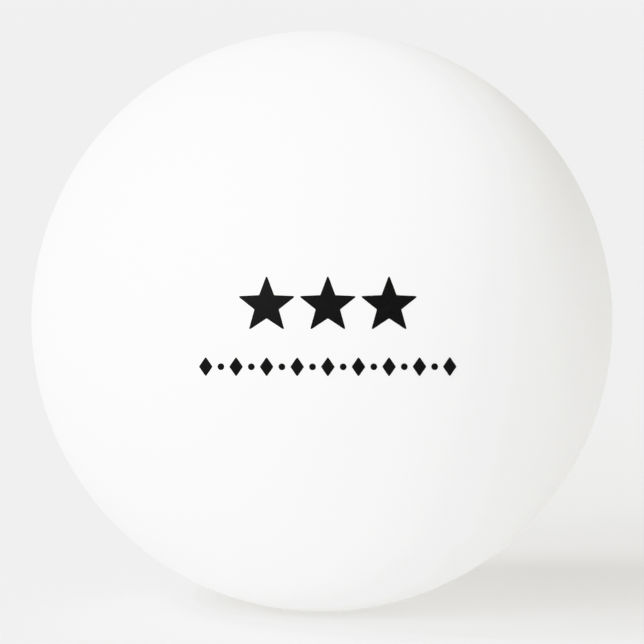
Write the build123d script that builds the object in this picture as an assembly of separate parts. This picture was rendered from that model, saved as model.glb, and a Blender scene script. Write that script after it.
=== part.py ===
"""Table tennis ball: two moulded half shells, the bond that joins them, and a printed mark.

Frame, in millimetres: the origin is the ball's centre and +Z is up. The half shells meet at the
XZ plane, so Y is the axis that both are turned about, and the print faces -Y.
"""

import os
from math import asin, cos, degrees, pi, sin, sqrt

from build123d import *

# Ball
BALL_RADIUS = 20.0
WALL = 0.48

# Rim of each half shell: a straight bore thickens the wall, and a stepped lip laps the halves
BORE_RADIUS = 19.2
STEP_RADIUS = 19.6
LIP_REACH = 1.0

# Bond between the lips: a thin layer, recessed outside and squeezed out as a bead inside
BOND = 0.05
BOND_RECESS = 0.02
BEAD_RADIUS = 0.16

# Print: an ink film on the front, its middle raised above -Y and set a little to the right
INK = 0.03
PRINT_RAISED_DEG = 5.0
PRINT_OFFSET = 0.38
CORNER_RADIUS = 0.06

# Row of stars, in the upper half of the print
STAR_COUNT = 3
STAR_POINTS = 5
STAR_RADIUS = 2.0
STAR_WAIST = 0.42
STAR_PITCH = 4.0
STAR_HEIGHT = 1.0

# Border of lozenges with a dot between each two, in the lower half of the print
LOZENGE_COUNT = 9
LOZENGE_PITCH = 2.0
LOZENGE_WIDTH = 0.9
LOZENGE_HEIGHT = 1.3
DOT_RADIUS = 0.22
BORDER_HEIGHT = -3.0

INNER_RADIUS = BALL_RADIUS - WALL
BORE_EDGE = sqrt(INNER_RADIUS**2 - BORE_RADIUS**2)
FRONT, REAR = -1, 1


def turned(outline):
    """The solid that a closed half outline makes when it is turned about Y."""
    return revolve(make_face(outline), axis=Axis.Y)


def angle_at(radius, height):
    """The angle from the seam plane, in degrees, of the point of a sphere at that height."""
    return degrees(asin(height / radius))


def half_shell(side, step_radius, step_end):
    """One half of the ball. Its rim has a flat at the seam, a step, a flat and the bore."""
    seam = angle_at(BALL_RADIUS, BOND / 2)
    bore = angle_at(INNER_RADIUS, BORE_EDGE)
    outside = CenterArc((0, 0), BALL_RADIUS, side * 90, side * (seam - 90))
    inside = CenterArc((0, 0), INNER_RADIUS, side * bore, side * (90 - bore))
    rim = Polyline(
        outside @ 1,
        (step_radius, side * BOND / 2),
        (step_radius, step_end),
        (BORE_RADIUS, step_end),
        inside @ 0,
    )
    return turned(outside + rim + inside + Line(inside @ 1, outside @ 0))


def front_half_shell():
    """The half that carries the print. Its inner lip reaches into the rear half."""
    return half_shell(FRONT, STEP_RADIUS, LIP_REACH)


def rear_half_shell():
    """The half behind the seam. Its outer lip covers the front half's lip."""
    return half_shell(REAR, STEP_RADIUS + BOND, LIP_REACH + BOND)


def seam_bond():
    """The ring of bond that fills the stepped gap, with its bead on the bore."""
    recessed = BALL_RADIUS - BOND_RECESS
    bead_middle = LIP_REACH + BOND / 2
    bead_start = (BORE_RADIUS, bead_middle - BEAD_RADIUS)
    bead_end = (BORE_RADIUS, bead_middle + BEAD_RADIUS)
    front_face = Polyline(
        (recessed, -BOND / 2),
        (STEP_RADIUS, -BOND / 2),
        (STEP_RADIUS, LIP_REACH),
        (BORE_RADIUS, LIP_REACH),
        bead_start,
    )
    bead = ThreePointArc(bead_start, (BORE_RADIUS - BEAD_RADIUS, bead_middle), bead_end)
    rear_face = Polyline(
        bead_end,
        (BORE_RADIUS, LIP_REACH + BOND),
        (STEP_RADIUS + BOND, LIP_REACH + BOND),
        (STEP_RADIUS + BOND, BOND / 2),
        (recessed, BOND / 2),
        (recessed, -BOND / 2),
    )
    return turned(front_face + bead + rear_face)


def star():
    """A star outline, one point up, with its tips and notches a little rounded."""
    corners = []
    for i in range(2 * STAR_POINTS):
        reach = STAR_RADIUS * (STAR_WAIST if i % 2 else 1)
        turn = pi * i / STAR_POINTS
        corners.append((reach * sin(turn), reach * cos(turn)))
    outline = Polygon(*corners, align=None)
    return fillet(outline.vertices(), CORNER_RADIUS)


def lozenge():
    """A lozenge outline, taller than it is wide, with its corners a little rounded."""
    right, top = LOZENGE_WIDTH / 2, LOZENGE_HEIGHT / 2
    outline = Polygon((right, 0), (0, top), (-right, 0), (0, -top), align=None)
    return fillet(outline.vertices(), CORNER_RADIUS)


def in_row(outline, count, pitch, height):
    """Copies of an outline in a level row that is centred on the print."""
    return [Pos(pitch * (i - (count - 1) / 2), height) * outline for i in range(count)]


def ink(outlines):
    """The outlines as ink films that lie on the ball, one solid for each."""
    film = Sphere(BALL_RADIUS + INK) - Sphere(BALL_RADIUS)
    facing = Plane((0, 0, 0), x_dir=(1, 0, 0), z_dir=(0, -1, 0)).rotated((-PRINT_RAISED_DEG, 0, 0))
    solids = []
    for outline in outlines:
        raised = Pos(PRINT_OFFSET, 0, BALL_RADIUS / 2) * outline
        column = extrude(raised, amount=BALL_RADIUS, dir=(0, 0, 1))
        solids += (film & (facing * column)).solids()
    return Compound(children=solids)


def printed_stars():
    """The row of stars."""
    return ink(in_row(star(), STAR_COUNT, STAR_PITCH, STAR_HEIGHT))


def printed_border():
    """The row of lozenges and dots under the stars."""
    lozenges = in_row(lozenge(), LOZENGE_COUNT, LOZENGE_PITCH, BORDER_HEIGHT)
    dots = in_row(Circle(DOT_RADIUS), LOZENGE_COUNT - 1, LOZENGE_PITCH, BORDER_HEIGHT)
    return ink(lozenges + dots)


def main():
    """Writes one STEP file for each piece."""
    os.makedirs("parts", exist_ok=True)
    pieces = {
        "front_half_shell": front_half_shell(),
        "rear_half_shell": rear_half_shell(),
        "seam_bond": seam_bond(),
        "printed_stars": printed_stars(),
        "printed_border": printed_border(),
    }
    for name, shape in pieces.items():
        export_step(shape, f"parts/{name}.step")


main()
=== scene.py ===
"""A table tennis ball on a pale studio floor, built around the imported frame.

Lengths are in metres, in the frame's own axes: the origin is the ball's centre, +Z is up, the
half shells meet at the XZ plane, and the print faces -Y.
"""

from math import atan2, cos, exp, log, pi, radians, sin, sqrt, tan

import bmesh
import bpy
from mathutils import Matrix, Vector


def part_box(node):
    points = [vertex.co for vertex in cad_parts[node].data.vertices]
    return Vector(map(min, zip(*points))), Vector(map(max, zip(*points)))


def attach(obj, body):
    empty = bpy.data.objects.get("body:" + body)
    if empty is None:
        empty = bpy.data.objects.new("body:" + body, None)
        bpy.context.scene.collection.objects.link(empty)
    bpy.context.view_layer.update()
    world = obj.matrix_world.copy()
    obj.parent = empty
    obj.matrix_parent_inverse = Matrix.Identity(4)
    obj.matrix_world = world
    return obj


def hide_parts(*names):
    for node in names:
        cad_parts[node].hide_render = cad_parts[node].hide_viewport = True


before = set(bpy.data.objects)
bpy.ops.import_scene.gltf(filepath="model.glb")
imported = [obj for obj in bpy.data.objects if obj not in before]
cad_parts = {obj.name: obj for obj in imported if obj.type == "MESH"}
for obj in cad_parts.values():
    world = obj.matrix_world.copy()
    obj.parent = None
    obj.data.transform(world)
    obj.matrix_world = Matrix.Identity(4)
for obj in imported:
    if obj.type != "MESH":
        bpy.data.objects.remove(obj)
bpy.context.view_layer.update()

MM = 0.001

# Ball: the radius comes from the frame, and the rim, the bond and the print are the frame's
BALL_RADIUS = -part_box("front_half_shell")[0].y
LIP_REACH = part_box("front_half_shell")[1].y
WALL = 0.48 * MM
INNER_RADIUS = BALL_RADIUS - WALL
BORE_RADIUS = 19.2 * MM
BORE_EDGE = sqrt(INNER_RADIUS**2 - BORE_RADIUS**2)
STEP_RADIUS = 19.6 * MM
BOND = 0.05 * MM
BOND_RECESS = 0.02 * MM
BEAD_RADIUS = 0.16 * MM

# Softened edges of the rim: the outer one is what the seam's fine line is made of
SEAM_ROUND = 0.035 * MM
RIM_ROUND = 0.02 * MM
BOND_ROUND = 0.006 * MM
SEAM_SUPPORT = 0.12 * MM

# Meshes: a square grid over each pole's cap, rings of quads from its edge to the rim, and round
# edges in short steps
CAP_STEPS = 64
RING_STEPS = 4 * CAP_STEPS
DOME_STEPS = 32
ROUND_STEPS = 5
DOT_STEPS = 30

# Print: films that end at the ink's height, and start clear of the shell
INK = 0.03 * MM
INK_LIFT = 0.003 * MM
PRINT_RAISED = radians(5)
PRINT_OFFSET = 0.38 * MM
STAR_COUNT = 3
STAR_POINTS = 5
STAR_RADIUS = 2.0 * MM
STAR_WAIST = 0.42
STAR_PITCH = 4.0 * MM
STAR_HEIGHT = 1.0 * MM
LOZENGE_COUNT = 9
LOZENGE_PITCH = 2.0 * MM
LOZENGE_WIDTH = 0.9 * MM
LOZENGE_HEIGHT = 1.3 * MM
DOT_RADIUS = 0.22 * MM
BORDER_HEIGHT = -3.0 * MM
CORNER_RADIUS = 0.06 * MM
OUTLINE_STEP = 0.12 * MM

# A film's rings from its top's middle to its underside's: their share of the outline, and how
# far they are from the film's underside to its top
FILM_SECTION = (
    (0.3, 1.0),
    (0.6, 1.0),
    (0.85, 1.0),
    (0.955, 0.97),
    (0.985, 0.8),
    (1.0, 0.45),
    (1.0, 0.1),
    (0.98, 0.0),
    (0.85, 0.0),
    (0.6, 0.0),
    (0.3, 0.0),
)

# Patterns in the materials: the size of the lumps, and how many finer layers they have
PATTERNS = {
    "clouds": (9 * MM, 3),
    "peel": (1.6 * MM, 2),
    "grain": (0.11 * MM, 2),
    "ripple": (0.6 * MM, 3),
    "cover": (0.5 * MM, 4),
    "ink grain": (0.09 * MM, 2),
}
MIDDLE_RANGE = (0.3, 0.7)

# Plastic, bond and ink: the lowest and the highest of each value that varies, the depths of the
# relief, and how much light goes into the surface and how far
PLASTIC_COLOURS = ((0.920, 0.918, 0.913), (0.938, 0.937, 0.934))
PLASTIC_ROUGHNESS = (0.5, 0.62)
PLASTIC_IOR = 1.5
PLASTIC_GRAIN_DEPTH = 0.004 * MM
PLASTIC_PEEL_DEPTH = 0.006 * MM
PLASTIC_LIT_INSIDE = 0.3
PLASTIC_LIT_DEPTH = 0.2 * MM
PLASTIC_LIT_SPREAD = (1.0, 0.9, 0.8)
CLOUD_SHARE = 0.7
PEEL_SHARE = 0.5

BOND_COLOURS = ((0.76, 0.745, 0.70), (0.83, 0.82, 0.79))
BOND_ROUGHNESS = (0.3, 0.45)
BOND_IOR = 1.5
BOND_RIPPLE_DEPTH = 0.01 * MM
BOND_LIT_INSIDE = 1.0
BOND_LIT_DEPTH = 0.6 * MM
BOND_LIT_SPREAD = (1.0, 0.85, 0.7)

INK_COLOURS = ((0.0015, 0.0015, 0.0018), (0.005, 0.005, 0.0053))
INK_ROUGHNESS = (0.4, 0.58)
INK_IOR = 1.48
INK_GLOSS = 0.07
INK_GRAIN_DEPTH = 0.003 * MM
INK_COVER_DEPTH = 0.004 * MM
COVER_SHARE = 0.6

# Camera
CAMERA_DISTANCE = 0.37
CAMERA_RAISED = radians(5)
BALL_SHARE_OF_FRAME = 0.902
AIM_BELOW_CENTRE = 0.076 * MM
SENSOR_MM = 36
CLIP_START, CLIP_END = 0.01, 10

# Floor: flat, then a cove all round. It is a light table, so it glows as well as it reflects
WHITE = (1, 1, 1, 1)
FLOOR_RADIUS = 1.7
FLOOR_NEAR_RADIUS = FLOOR_RADIUS / 4
FLOOR_STEPS = 96
COVE_RADIUS = 0.6
COVE_TURN = radians(75)
COVE_STEPS = 24
FLOOR_WHITENESS = 0.45
FLOOR_GLOW = 0.402

# Suns: how far round to the camera's left, how far up, how wide, and how strong each one is
SUNS = {
    "key": (radians(71), radians(49), radians(24), 0.96),
    "fill": (radians(34), radians(14), radians(50), 2.8),
    "side": (radians(-90), radians(40), radians(60), 0.28),
    "table": (0.0, radians(-90), radians(60), 0.345),
}
WORLD_STRENGTH = 0.565
DIFFUSE_BOUNCES = 8

# Tone: straight up to the shoulder, and from there ever flatter towards the limit
SHOULDER = 0.8
LIMIT = 0.985
BRIGHTEST = 1.6
SHOULDER_STEPS = 10
SHOULDER_SPACING = 1.5

# Grade: a plain tone, and the red, green and blue that it is shown as. The tones near the
# backdrop's are drawn together, and the darker ones are set apart from them and a little warmer
GRADE = (
    (0.0, (0.0, 0.0, 0.0)),
    (0.5, (0.5, 0.494, 0.48)),
    (0.745, (0.745, 0.738, 0.715)),
    (0.8, (0.8, 0.794, 0.779)),
    (0.836, (0.838, 0.838, 0.825)),
    (0.858, (0.85, 0.85, 0.84)),
    (0.866, (0.869, 0.869, 0.868)),
    (0.884, (0.873, 0.873, 0.873)),
    (0.9, (0.899, 0.899, 0.899)),
)


# Meshes


def rounded(corners, radius, closed=False):
    """The outline through these corners, each but an open outline's ends turned into an arc."""
    outline = []
    count = len(corners)
    for i, corner in enumerate(corners):
        if not closed and i in (0, count - 1):
            outline.append(corner)
            continue
        back = (corners[i - 1] - corner).normalized()
        ahead = (corners[(i + 1) % count] - corner).normalized()
        half = back.angle(ahead) / 2
        middle = corner + (back + ahead).normalized() * (radius / sin(half))
        start = corner + back * (radius / tan(half)) - middle
        end = corner + ahead * (radius / tan(half)) - middle
        swept = start.angle_signed(end)
        for step in range(ROUND_STEPS + 1):
            turn = Matrix.Rotation(-swept * step / ROUND_STEPS, 2)
            outline.append(middle + turn @ start)
    return outline


def bridge(mesh, loops):
    """Quads between each loop of points and the next."""
    for first, second in zip(loops, loops[1:]):
        count = len(first)
        for i in range(count):
            j = (i + 1) % count
            mesh.faces.new((first[i], first[j], second[j], second[i]))


def on_sphere(radius, side, from_pole, around):
    """The point of a sphere at an angle from its pole on that side, and at an angle round Y."""
    across = radius * sin(from_pole)
    return Vector((across * cos(around), side * radius * cos(from_pole), across * sin(around)))


def add_cap(mesh, radius, side):
    """A square grid swollen onto the sphere over its pole. Returns its edge, in order round Y."""
    last = CAP_STEPS
    places = [tan(pi / 2 * (i / last - 0.5)) for i in range(last + 1)]
    grid = []
    for x in places:
        column = [radius * Vector((x, side, z)).normalized() for z in places]
        grid.append([mesh.verts.new(point) for point in column])
    for i in range(last):
        for j in range(last):
            mesh.faces.new((grid[i][j], grid[i + 1][j], grid[i + 1][j + 1], grid[i][j + 1]))
    right = [grid[last][j] for j in range(last)]
    top = [grid[i][last] for i in range(last, 0, -1)]
    left = [grid[0][j] for j in range(last, 0, -1)]
    bottom = [grid[i][0] for i in range(last)]
    return right + top + left + bottom


def add_dome(mesh, radius, side, rim_angle):
    """A cap and rings from its edge towards a round rim. Returns the loops from cap to rim."""
    edge = add_cap(mesh, radius, side)
    loops = [edge]
    pole = Vector((0, side, 0))
    for step in range(1, DOME_STEPS):
        share = step / DOME_STEPS
        ring = []
        for vertex in edge:
            start = vertex.co.angle(pole)
            from_pole = start + (rim_angle - start) * share
            around = atan2(vertex.co.z, vertex.co.x)
            ring.append(mesh.verts.new(on_sphere(radius, side, from_pole, around)))
        loops.append(ring)
    return loops


def add_rings(mesh, outline):
    """One ring round Y for each (radius, height) point. They start where a cap's edge does."""
    turns = [pi / 2 * (i / CAP_STEPS - 0.5) for i in range(RING_STEPS)]
    loops = []
    for point in outline:
        ring = [(point.x * cos(turn), point.y, point.x * sin(turn)) for turn in turns]
        loops.append([mesh.verts.new(place) for place in ring])
    return loops


def placed(name, data):
    """A new object in the scene, at the origin."""
    made = bpy.data.objects.new(name, data)
    bpy.context.scene.collection.objects.link(made)
    return made


def smooth(mesh, name, finish):
    """A smooth object made of the gathered faces."""
    bmesh.ops.recalc_face_normals(mesh, faces=mesh.faces)
    data = bpy.data.meshes.new(name)
    mesh.to_mesh(data)
    mesh.free()
    data.shade_smooth()
    data.materials.append(finish)
    return placed(name, data)


def finished(mesh, name, finish, node):
    """The piece that stands for a node of the frame, made of the gathered faces."""
    piece = smooth(mesh, name, finish)
    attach(piece, "root")
    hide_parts(node)
    return piece


# Pieces


def shell(name, finish, node, side, step_radius, step_end):
    """One half of the ball, with its stepped lip and its straight bore inside."""
    mesh = bmesh.new()
    seam = side * BOND / 2
    support = SEAM_SUPPORT / BALL_RADIUS
    support_point = Vector((BALL_RADIUS * cos(support), side * BALL_RADIUS * sin(support)))
    outer_edge = Vector((sqrt(BALL_RADIUS**2 - seam**2), seam))
    step_start = Vector((step_radius, seam))
    outside = add_dome(mesh, BALL_RADIUS, side, pi / 2 - support)
    inside = add_dome(mesh, INNER_RADIUS, side, pi / 2 - atan2(BORE_EDGE, BORE_RADIUS))
    seam_corner = rounded([support_point, outer_edge, step_start], SEAM_ROUND)[:-1]
    lip = [
        outer_edge,
        step_start,
        Vector((step_radius, step_end)),
        Vector((BORE_RADIUS, step_end)),
        Vector((BORE_RADIUS, side * BORE_EDGE)),
    ]
    rim = add_rings(mesh, seam_corner + rounded(lip, RIM_ROUND)[1:])
    bridge(mesh, outside + rim + inside[::-1])
    return finished(mesh, name, finish, node)


def bond_ring(finish):
    """The bond between the lips, with the bead that it makes on the bore."""
    mesh = bmesh.new()
    recessed = BALL_RADIUS - BOND_RECESS
    bead_middle = LIP_REACH + BOND / 2
    bead_steps = 2 * ROUND_STEPS
    turns = [pi * (i / bead_steps - 0.5) for i in range(bead_steps + 1)]
    bead = [
        Vector((BORE_RADIUS - BEAD_RADIUS * cos(turn), bead_middle + BEAD_RADIUS * sin(turn)))
        for turn in turns
    ]
    gap = [
        bead[0],
        Vector((BORE_RADIUS, LIP_REACH)),
        Vector((STEP_RADIUS, LIP_REACH)),
        Vector((STEP_RADIUS, -BOND / 2)),
        Vector((recessed, -BOND / 2)),
        Vector((recessed, BOND / 2)),
        Vector((STEP_RADIUS + BOND, BOND / 2)),
        Vector((STEP_RADIUS + BOND, LIP_REACH + BOND)),
        Vector((BORE_RADIUS, LIP_REACH + BOND)),
        bead[-1],
    ]
    loops = add_rings(mesh, rounded(gap, BOND_ROUND) + bead[-2:0:-1])
    bridge(mesh, loops + loops[:1])
    return finished(mesh, "bond_ring", finish, "seam_bond")


def star():
    """A star outline, one point up, with its tips and notches a little rounded."""
    corners = []
    for i in range(2 * STAR_POINTS):
        reach = STAR_RADIUS * (STAR_WAIST if i % 2 else 1)
        turn = pi * i / STAR_POINTS
        corners.append(Vector((-reach * sin(turn), reach * cos(turn))))
    return rounded(corners, CORNER_RADIUS, closed=True)


def lozenge():
    """A lozenge outline, taller than it is wide, with its corners a little rounded."""
    right, top = LOZENGE_WIDTH / 2, LOZENGE_HEIGHT / 2
    corners = [Vector(corner) for corner in ((right, 0), (0, top), (-right, 0), (0, -top))]
    return rounded(corners, CORNER_RADIUS, closed=True)


def dot():
    """A round outline."""
    turns = [2 * pi * i / DOT_STEPS for i in range(DOT_STEPS)]
    return [DOT_RADIUS * Vector((cos(turn), sin(turn))) for turn in turns]


def divided(outline):
    """The outline with points added where two neighbours are far apart."""
    points = []
    for i, point in enumerate(outline):
        ahead = outline[(i + 1) % len(outline)]
        steps = max(1, round((ahead - point).length / OUTLINE_STEP))
        points += [point.lerp(ahead, step / steps) for step in range(steps)]
    return points


def print_point(across, up, height):
    """Where a point of the flat print lies on the ball, at that height above its surface."""
    out = sqrt(BALL_RADIUS**2 - across**2 - up**2)
    facing = Matrix.Rotation(pi / 2 - PRINT_RAISED, 3, "X")
    return facing @ Vector((across, up, out)) * (1 + height / BALL_RADIUS)


def add_film(mesh, outline, across, up):
    """A thin closed film with a soft edge, which follows the ball under the placed outline."""
    points = divided(outline)
    middle = Vector((PRINT_OFFSET + across, up))
    loops = []
    for share, rise in FILM_SECTION:
        height = INK_LIFT + (INK - INK_LIFT) * rise
        places = [middle + point * share for point in points]
        loops.append([mesh.verts.new(print_point(place.x, place.y, height)) for place in places])
    bridge(mesh, loops)
    for loop, height in ((loops[0], INK), (loops[-1], INK_LIFT)):
        centre = mesh.verts.new(print_point(middle.x, middle.y, height))
        for i, vertex in enumerate(loop):
            mesh.faces.new((vertex, loop[(i + 1) % len(loop)], centre))


def add_row(mesh, outline, count, pitch, up):
    """Films in a level row that is centred on the print."""
    for i in range(count):
        add_film(mesh, outline, pitch * (i - (count - 1) / 2), up)


def star_prints(finish):
    """The row of stars."""
    mesh = bmesh.new()
    add_row(mesh, star(), STAR_COUNT, STAR_PITCH, STAR_HEIGHT)
    return finished(mesh, "star_prints", finish, "printed_stars")


def border_print(finish):
    """The row of lozenges with a dot between each two."""
    mesh = bmesh.new()
    add_row(mesh, lozenge(), LOZENGE_COUNT, LOZENGE_PITCH, BORDER_HEIGHT)
    add_row(mesh, dot(), LOZENGE_COUNT - 1, LOZENGE_PITCH, BORDER_HEIGHT)
    return finished(mesh, "border_print", finish, "printed_border")


# Materials


def fill(tree, node, inputs):
    """Links each of the node's inputs that is given a socket, and sets the others."""
    for name, value in inputs.items():
        if isinstance(value, bpy.types.NodeSocket):
            tree.links.new(value, node.inputs[name])
        else:
            node.inputs[name].default_value = value


def add(tree, kind, inputs):
    """A new node with these inputs."""
    made = tree.nodes.new(kind)
    fill(tree, made, inputs)
    return made


def noise(tree, pattern):
    """One of the patterns: soft random values over the surface."""
    size, detail = PATTERNS[pattern]
    place = add(tree, "ShaderNodeTexCoord", {}).outputs["Object"]
    inputs = {"Vector": place, "Scale": 1 / size, "Detail": detail}
    return add(tree, "ShaderNodeTexNoise", inputs).outputs["Fac"]


def blend(tree, share, first, second):
    """A value that is this share of the first and the rest of the second."""
    inputs = {"Factor": 1 - share, "A": first, "B": second}
    return add(tree, "ShaderNodeMix", inputs).outputs["Result"]


def tinted(tree, value, colours):
    """A colour from the first to the second as the value goes over the middle of its range."""
    ramp = add(tree, "ShaderNodeValToRGB", {"Fac": value})
    for stop, place, colour in zip(ramp.color_ramp.elements, MIDDLE_RANGE, colours):
        stop.position = place
        stop.color = (*colour, 1)
    return ramp.outputs["Color"]


def ranged(tree, value, ends):
    """The middle of the value's range, mapped from the first end to the second."""
    names = ("From Min", "From Max", "To Min", "To Max")
    inputs = {"Value": value, **dict(zip(names, MIDDLE_RANGE + ends))}
    return add(tree, "ShaderNodeMapRange", inputs).outputs["Result"]


def bumps(tree, value, depth, under=None):
    """A relief of that depth, on top of another one if there is one."""
    inputs = {"Height": value, "Distance": depth, "Strength": 1.0}
    if under:
        inputs["Normal"] = under
    return add(tree, "ShaderNodeBump", inputs).outputs["Normal"]


def surface(name):
    """A new material, its nodes and its shader."""
    material = bpy.data.materials.new(name)
    material.use_nodes = True
    return material, material.node_tree, material.node_tree.nodes["Principled BSDF"]


def white_plastic():
    """Tumbled ABS: near white, faintly cloudy and speckled, with a fine matt grain."""
    material, tree, shader = surface("tumbled_plastic")
    clouds = noise(tree, "clouds")
    grain = noise(tree, "grain")
    peel = noise(tree, "peel")
    mottle = blend(tree, CLOUD_SHARE, clouds, grain)
    relief = bumps(tree, grain, PLASTIC_GRAIN_DEPTH, bumps(tree, peel, PLASTIC_PEEL_DEPTH))
    inputs = {
        "Base Color": tinted(tree, mottle, PLASTIC_COLOURS),
        "Roughness": ranged(tree, blend(tree, PEEL_SHARE, peel, grain), PLASTIC_ROUGHNESS),
        "Normal": relief,
        "IOR": PLASTIC_IOR,
        "Subsurface Weight": PLASTIC_LIT_INSIDE,
        "Subsurface Radius": PLASTIC_LIT_SPREAD,
        "Subsurface Scale": PLASTIC_LIT_DEPTH,
    }
    fill(tree, shader, inputs)
    return material


def bond():
    """Set solvent bond: a little greyer, clearer and smoother than the shells."""
    material, tree, shader = surface("set_bond")
    ripple = noise(tree, "ripple")
    inputs = {
        "Base Color": tinted(tree, ripple, BOND_COLOURS),
        "Roughness": ranged(tree, ripple, BOND_ROUGHNESS),
        "Normal": bumps(tree, ripple, BOND_RIPPLE_DEPTH),
        "IOR": BOND_IOR,
        "Subsurface Weight": BOND_LIT_INSIDE,
        "Subsurface Radius": BOND_LIT_SPREAD,
        "Subsurface Scale": BOND_LIT_DEPTH,
    }
    fill(tree, shader, inputs)
    return material


def black_ink():
    """Pad-printed ink: satin black, a little uneven in cover and in gloss."""
    material, tree, shader = surface("satin_ink")
    cover = noise(tree, "cover")
    grain = noise(tree, "ink grain")
    mottle = blend(tree, COVER_SHARE, cover, grain)
    inputs = {
        "Base Color": tinted(tree, mottle, INK_COLOURS),
        "Roughness": ranged(tree, cover, INK_ROUGHNESS),
        "Normal": bumps(tree, grain, INK_GRAIN_DEPTH, bumps(tree, cover, INK_COVER_DEPTH)),
        "IOR": INK_IOR,
        "Specular IOR Level": INK_GLOSS,
    }
    fill(tree, shader, inputs)
    return material


def pale_floor():
    """The light table's top: a plain matt diffuser, evenly lit from under it."""
    material, tree, shader = surface("pale_floor")
    inputs = {
        "Base Color": (FLOOR_WHITENESS, FLOOR_WHITENESS, FLOOR_WHITENESS, 1),
        "Roughness": 1.0,
        "Specular IOR Level": 0.0,
        "Emission Color": WHITE,
        "Emission Strength": FLOOR_GLOW,
    }
    fill(tree, shader, inputs)
    return material


# Studio


def floor():
    """A pale floor that curves up at its far edge, all round."""
    mesh = bmesh.new()
    level = -BALL_RADIUS
    section = [(across, level) for across in (BALL_RADIUS, FLOOR_NEAR_RADIUS, FLOOR_RADIUS)]
    for step in range(1, COVE_STEPS + 1):
        turn = COVE_TURN * step / COVE_STEPS
        across = FLOOR_RADIUS + COVE_RADIUS * sin(turn)
        section.append((across, level + COVE_RADIUS * (1 - cos(turn))))
    turns = [2 * pi * i / FLOOR_STEPS for i in range(FLOOR_STEPS)]
    loops = []
    for across, height in section:
        loops.append([mesh.verts.new((across * cos(t), across * sin(t), height)) for t in turns])
    mesh.faces.new(loops[0])
    bridge(mesh, loops)
    made = smooth(mesh, "floor", pale_floor())
    return made


def sun(name):
    """One of the suns, turned to shine from where it is said to be."""
    left, raised, spread, strength = SUNS[name]
    lamp = bpy.data.lights.new(name, "SUN")
    lamp.energy = strength
    lamp.angle = spread
    made = placed(name, lamp)
    across = cos(raised)
    towards = Vector((-across * sin(left), -across * cos(left), sin(raised)))
    made.rotation_euler = towards.to_track_quat("Z", "Y").to_euler()
    return made


def surround():
    """Even white light from all round."""
    scene = bpy.context.scene
    scene.world = bpy.data.worlds.new("studio")
    scene.world.use_nodes = True
    tree = scene.world.node_tree
    inputs = {"Color": WHITE, "Strength": WORLD_STRENGTH}
    fill(tree, tree.nodes["Background"], inputs)
    scene.cycles.diffuse_bounces = DIFFUSE_BOUNCES


def lights(table_top):
    """All the suns. The one under the table shines through its top and no other thing."""
    suns = {name: sun(name) for name in SUNS}
    passed = bpy.data.collections.new("passed_by_table_light")
    passed.objects.link(table_top)
    passed.collection_objects[0].light_linking.link_state = "EXCLUDE"
    suns["table"].light_linking.blocker_collection = passed


def shown(level):
    """How bright a level of light is shown, where the highlights roll off as in a camera."""
    if level < SHOULDER:
        return level
    room = LIMIT - SHOULDER
    return SHOULDER + room * (1 - exp((SHOULDER - level) / room))


def light_for(tone):
    """The level of light that is shown as that tone before the grade."""
    if tone < SHOULDER:
        return tone
    room = LIMIT - SHOULDER
    return SHOULDER - room * log(1 - (tone - SHOULDER) / room)


def bend(curve, places):
    """Gives a tone curve these corners, with straight runs between them."""
    for x, y in places[1:-1]:
        curve.points.new(x, y)
    for point, place in zip(curve.points, places):
        point.location = place
        point.handle_type = "VECTOR"


def grade():
    """The camera's tones: one curve for each of red, green and blue, with the grade in it."""
    settings = bpy.context.scene.view_settings
    settings.view_transform = "Standard"
    settings.use_curve_mapping = True
    mapping = settings.curve_mapping
    mapping.extend = "HORIZONTAL"
    mapping.white_level = (BRIGHTEST, BRIGHTEST, BRIGHTEST)
    start = light_for(GRADE[-1][0])
    shares = [(i / SHOULDER_STEPS) ** SHOULDER_SPACING for i in range(1, SHOULDER_STEPS + 1)]
    levels = [start + (BRIGHTEST - start) * share for share in shares]
    for i in range(3):
        places = [(light_for(tone) / BRIGHTEST, colour[i]) for tone, colour in GRADE]
        places += [(level / BRIGHTEST, shown(level)) for level in levels]
        bend(mapping.curves[i], places)
    mapping.update()


def camera():
    """The camera faces the print from a little above, with a long lens."""
    data = bpy.data.cameras.new("camera")
    data.sensor_width = SENSOR_MM
    outline = BALL_RADIUS / sqrt(CAMERA_DISTANCE**2 - BALL_RADIUS**2)
    data.lens = SENSOR_MM / 2 * BALL_SHARE_OF_FRAME / outline
    data.clip_start = CLIP_START
    data.clip_end = CLIP_END
    made = placed("camera", data)
    aim = Vector((0, 0, -AIM_BELOW_CENTRE))
    back = Vector((0, -cos(CAMERA_RAISED), sin(CAMERA_RAISED)))
    made.location = aim + CAMERA_DISTANCE * back
    made.rotation_euler = back.to_track_quat("Z", "Y").to_euler()
    bpy.context.scene.camera = made


plastic = white_plastic()
ink = black_ink()
shell("front_shell", plastic, "front_half_shell", -1, STEP_RADIUS, LIP_REACH)
shell("rear_shell", plastic, "rear_half_shell", 1, STEP_RADIUS + BOND, LIP_REACH + BOND)
bond_ring(bond())
star_prints(ink)
border_print(ink)
surround()
lights(floor())
camera()
grade()
